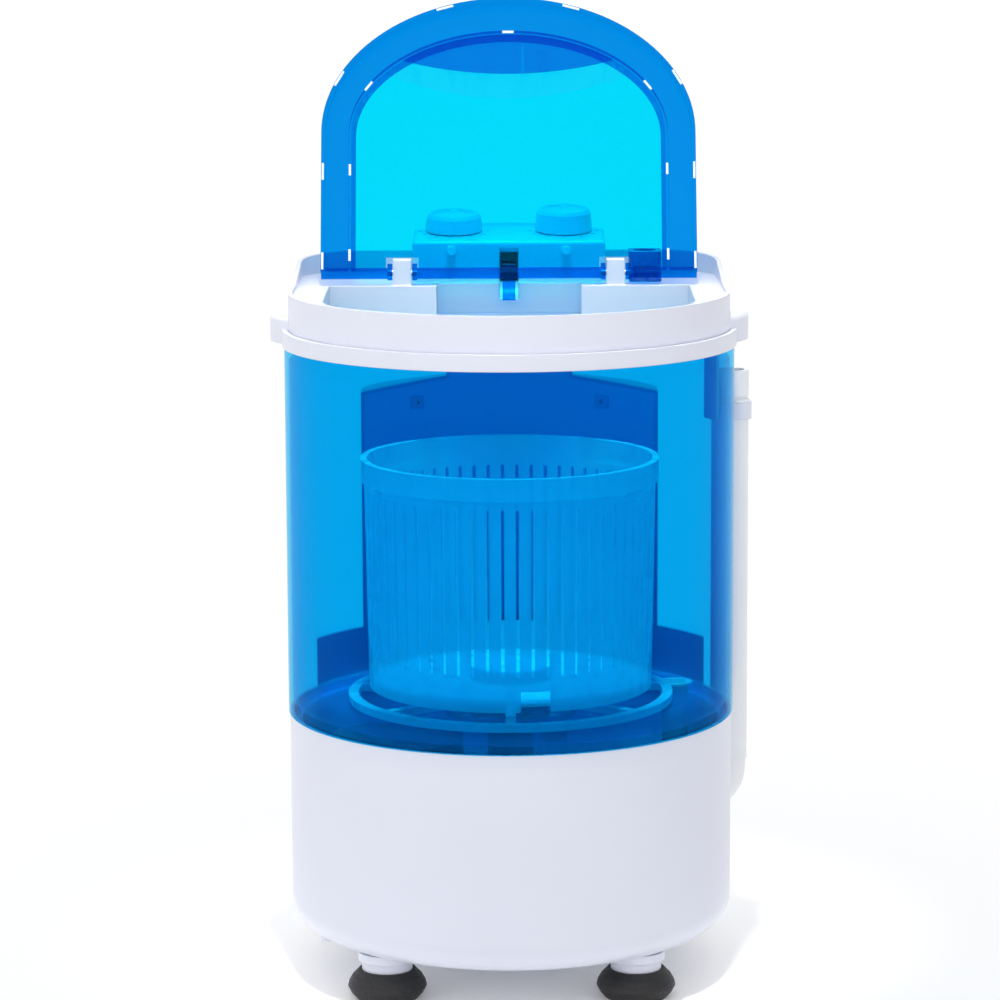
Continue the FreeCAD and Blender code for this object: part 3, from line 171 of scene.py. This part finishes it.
def clear_material(name, tint, body, body_share, roughness):
    """A tinted clear moulding: light passes and takes the tint, with a gloss that grows at the edges."""
    material, tree, shader, output = new_material(name)
    shader.inputs["Base Color"].default_value = (*body, 1.0)
    fine = add_noise(tree, CLEAR_GRAIN)
    tree.links.new(remap(tree, fine, *roughness), shader.inputs["Roughness"])
    add_bump(tree, fine, shader, CLEAR_RELIEF, RELIEF_DEPTH)
    passing = tree.nodes.new("ShaderNodeBsdfTransparent")
    passing.inputs["Color"].default_value = (*tint, 1.0)
    facing = tree.nodes.new("ShaderNodeLayerWeight")
    facing.inputs["Blend"].default_value = 0.5
    rim = tree.nodes.new("ShaderNodeMath")
    rim.operation = "POWER"
    rim.inputs[1].default_value = RIM_POWER
    tree.links.new(facing.outputs["Facing"], rim.inputs[0])
    share = tree.nodes.new("ShaderNodeMapRange")
    share.inputs["To Min"].default_value = body_share
    share.inputs["To Max"].default_value = CLEAR_GLOSS
    tree.links.new(rim.outputs["Value"], share.inputs["Value"])
    mix = tree.nodes.new("ShaderNodeMixShader")
    tree.links.new(share.outputs["Result"], mix.inputs["Fac"])
    tree.links.new(passing.outputs["BSDF"], mix.inputs[1])
    tree.links.new(shader.outputs["BSDF"], mix.inputs[2])
    tree.links.new(mix.outputs["Shader"], output.inputs["Surface"])
    return material


# ---- finishes ----

def white_plastic():
    """Glossy white moulding with a cool cast."""
    return solid_material(
        "white_plastic", ((0.70, 0.72, 0.82), (0.72, 0.74, 0.84)), (0.28, 0.34), 160.0, 0.01,
        edge=SHELL_EDGE_RADIUS)


def liner_painted_light():
    """White sheet behind the tub, painted brighter than the shell's white plastic: painted light standing in
    for the light that barely reaches it behind the tub.
    """
    return solid_material(
        "liner_painted_light", ((0.92, 0.94, 0.96), (0.95, 0.96, 0.98)), (0.35, 0.45), 160.0, 0.02)


def hose_white():
    """Satin white of the hose and its elbow."""
    return solid_material(
        "hose_white", ((0.82, 0.84, 0.87), (0.86, 0.88, 0.90)), (0.35, 0.5), 90.0, 0.04)


def rubber():
    """Near-black rubber with a dull bloom."""
    return solid_material("rubber", ((0.010, 0.010, 0.011), (0.022, 0.022, 0.024)), (0.45, 0.7), 600.0, 0.25)


def black_plastic():
    """Dull black moulding."""
    return solid_material(
        "black_plastic", ((0.018, 0.018, 0.02), (0.03, 0.03, 0.033)), (0.4, 0.6), 500.0, 0.2)


def grey_plastic():
    """Mid grey moulding inside the base."""
    return solid_material("grey_plastic", ((0.25, 0.26, 0.28), (0.32, 0.33, 0.35)), (0.4, 0.55), 400.0, 0.15)


def steel():
    """Plain steel with turning marks."""
    return solid_material(
        "steel", ((0.48, 0.48, 0.50), (0.62, 0.62, 0.64)), (0.22, 0.42), 700.0, 0.15, 1.0, (1.0, 1.0, 9.0))


def bearing_metal():
    """Oiled bronze."""
    return solid_material(
        "bearing_metal", ((0.42, 0.27, 0.12), (0.55, 0.36, 0.17)), (0.3, 0.5), 900.0, 0.2, 1.0)


def motor_paint():
    """Grey enamel on the motor."""
    return solid_material(
        "motor_paint", ((0.10, 0.11, 0.12), (0.15, 0.16, 0.17)), (0.3, 0.5), 500.0, 0.15, 0.3)


def winding():
    """Varnished copper, in fine turns."""
    return solid_material(
        "winding", ((0.30, 0.10, 0.03), (0.50, 0.20, 0.07)), (0.25, 0.5), 900.0, 0.5, 0.6, (1.0, 1.0, 0.05))


def wire():
    """Wire insulation."""
    return solid_material("wire", ((0.03, 0.03, 0.035), (0.05, 0.05, 0.055)), (0.35, 0.5), 500.0, 0.1)


def tub_blue():
    """Clear blue of the tub."""
    return clear_material("tub_blue", (0.08, 0.785, 0.955), (0.0, 0.42, 0.90), 0.03, (0.04, 0.12))


def lid_blue():
    """Deep clear blue of the lid frame."""
    return clear_material("lid_blue", (0.02, 0.53, 0.885), (0.0, 0.28, 0.80), 0.06, (0.05, 0.12))


def window_cyan():
    """Light cyan of the lid window."""
    return clear_material("window_cyan", (0.03, 0.83, 0.97), (0.0, 0.6, 0.9), 0.02, (0.03, 0.08))


def basket_blue():
    """Milky blue of the basket."""
    return clear_material("basket_blue", (0.45, 0.86, 0.98), (0.42, 0.93, 1.0), 0.42, (0.2, 0.35))


def pulsator_blue():
    """Milky blue of the pulsator, a little denser than the basket."""
    return clear_material("pulsator_blue", (0.4, 0.82, 0.97), (0.40, 0.89, 1.0), 0.50, (0.2, 0.35))


def window_pale():
    """Faint tint of the thin step under the window."""
    return clear_material("window_pale", (0.6, 0.93, 0.985), (0.0, 0.6, 0.9), 0.02, (0.03, 0.08))


def pad_white():
    """Soft pads painted pale: painted highlight standing in for the bright dashes of light along the lid
    skirt, in two pale tints that drift at random.
    """
    return solid_material("pad_white", ((0.80, 0.92, 0.95), (0.88, 0.96, 0.98)), (0.5, 0.65), 500.0, 0.1)


def dark_blue():
    """Dark blue of the water inlet."""
    return solid_material("dark_blue", ((0.0, 0.10, 0.45), (0.0, 0.13, 0.52)), (0.2, 0.35), 300.0, 0.08)


FINISHES = [
    white_plastic, liner_painted_light, hose_white, rubber, black_plastic, grey_plastic, steel, bearing_metal,
    motor_paint, winding, wire, tub_blue, lid_blue, window_cyan, window_pale, pad_white, basket_blue,
    pulsator_blue, dark_blue,
]

# a node given a finish of its own instead of its record slot: the liner's white is painted brighter than the
# white plastic, as painted light for the shade behind the tub
OWN_FINISH = {"cover_liner": "liner_painted_light"}


def dress_nodes(made):
    """Gives every CAD node the finish of its record slot, or its own."""
    for part in frame["record"]["subparts"]:
        mesh = NODES[part["node"]].data
        mesh.materials.clear()
        mesh.materials.append(made[OWN_FINISH.get(part["node"], part["material_slot"])])


# ---- added detail ----

def add_dial_marks(name, knob_x, finish):
    """Plain tick marks printed on the panel in a half ring in front of a knob."""
    verts = []
    faces = []
    for angle in MARK_ANGLES:
        turn = Matrix.Rotation(math.radians(angle), 4, "Z")
        first = len(verts)
        for z in (0.0, MARK_HEIGHT):
            for x, y in ((0.0, -0.5), (1.0, -0.5), (1.0, 0.5), (0.0, 0.5)):
                verts.append(turn @ Vector((MARK_START + x * MARK_LENGTH, y * MARK_WIDTH, z)))
        for corners in ((3, 2, 1, 0), (4, 5, 6, 7), (0, 1, 5, 4), (1, 2, 6, 5), (2, 3, 7, 6), (3, 0, 4, 7)):
            faces.append([first + corner for corner in corners])
    panel = Matrix.Translation((knob_x, KNOB_Y, PANEL_Z)) @ Matrix.Rotation(math.radians(PANEL_SLOPE), 4, "X")
    mesh = bpy.data.meshes.new(name)
    mesh.from_pydata([panel @ vert for vert in verts], [], faces)
    mesh.materials.append(finish)
    marks = bpy.data.objects.new(name, mesh)
    bpy.context.scene.collection.objects.link(marks)
    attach(marks, "base")


# ---- stage ----

def add_floor():
    """A plain pale floor."""
    half = FLOOR_SIZE / 2
    mesh = bpy.data.meshes.new("floor")
    mesh.from_pydata(
        [(-half, -half, 0), (half, -half, 0), (half, half, 0), (-half, half, 0)], [], [(0, 1, 2, 3)])
    floor = bpy.data.objects.new("floor", mesh)
    bpy.context.scene.collection.objects.link(floor)
    material, tree, shader, _ = new_material("floor")
    shader.inputs["Base Color"].default_value = FLOOR_COLOUR
    shader.inputs["Emission Color"].default_value = (1.0, 1.0, 1.0, 1.0)
    shader.inputs["Emission Strength"].default_value = FLOOR_GLOW
    tree.links.new(remap(tree, add_noise(tree, 3.0), 0.6, 0.7), shader.inputs["Roughness"])
    mesh.materials.append(material)


def add_world():
    """A white surround that dims towards the right."""
    world = bpy.data.worlds.new("studio")
    world.use_nodes = True
    tree = world.node_tree
    background = tree.nodes["Background"]
    background.inputs["Color"].default_value = (1.0, 1.0, 1.0, 1.0)
    place = tree.nodes.new("ShaderNodeTexCoord")
    split = tree.nodes.new("ShaderNodeSeparateXYZ")
    tree.links.new(place.outputs["Generated"], split.inputs["Vector"])
    strength = remap(
        tree, split.outputs["X"], WORLD_STRENGTH, WORLD_RIGHT_STRENGTH, WORLD_DIM_START, WORLD_DIM_END)
    tree.links.new(strength, background.inputs["Strength"])
    bpy.context.scene.world = world


def add_softbox(name, place, target, size, power, spread=180.0):
    """A square area light turned to a target."""
    data = bpy.data.lights.new(name, "AREA")
    data.shape = "SQUARE"
    data.size = size
    data.energy = power
    data.spread = math.radians(spread)
    light = bpy.data.objects.new(name, data)
    light.location = place
    way = [t - p for t, p in zip(target, place)]
    yaw = math.atan2(way[1], way[0]) - math.pi / 2
    tilt = math.atan2(math.hypot(way[0], way[1]), -way[2])
    light.rotation_euler = (tilt, 0.0, yaw)
    bpy.context.scene.collection.objects.link(light)


def add_camera():
    """The camera in front of the machine, looking slightly down."""
    data = bpy.data.cameras.new("camera")
    data.lens = LENS_MM
    data.sensor_width = SENSOR_MM
    camera = bpy.data.objects.new("camera", data)
    aim = Euler((math.radians(90.0 - CAMERA_PITCH), 0.0, math.radians(CAMERA_YAW))).to_matrix().to_4x4()
    roll = Matrix.Rotation(math.radians(CAMERA_ROLL), 4, "Z")
    camera.matrix_world = Matrix.Translation((0.0, -CAMERA_DISTANCE, CAMERA_HEIGHT)) @ aim @ roll
    bpy.context.scene.collection.objects.link(camera)
    bpy.context.scene.camera = camera


finishes = {finish.__name__: finish() for finish in FINISHES}
dress_nodes(finishes)
add_dial_marks("timer_marks", -KNOB_X, finishes[MARK_SLOT])
add_dial_marks("selector_marks", KNOB_X, finishes[MARK_SLOT])
add_floor()
add_world()
add_softbox("key", KEY_PLACE, KEY_TARGET, KEY_SIZE, KEY_POWER)
add_softbox("top", TOP_PLACE, TOP_TARGET, TOP_SIZE, TOP_POWER, TOP_SPREAD)
add_camera()
scene = bpy.context.scene
scene.view_settings.view_transform = "Standard"
scene.cycles.transparent_max_bounces = TRANSPARENT_BOUNCES
scene.cycles.max_bounces = LIGHT_BOUNCES
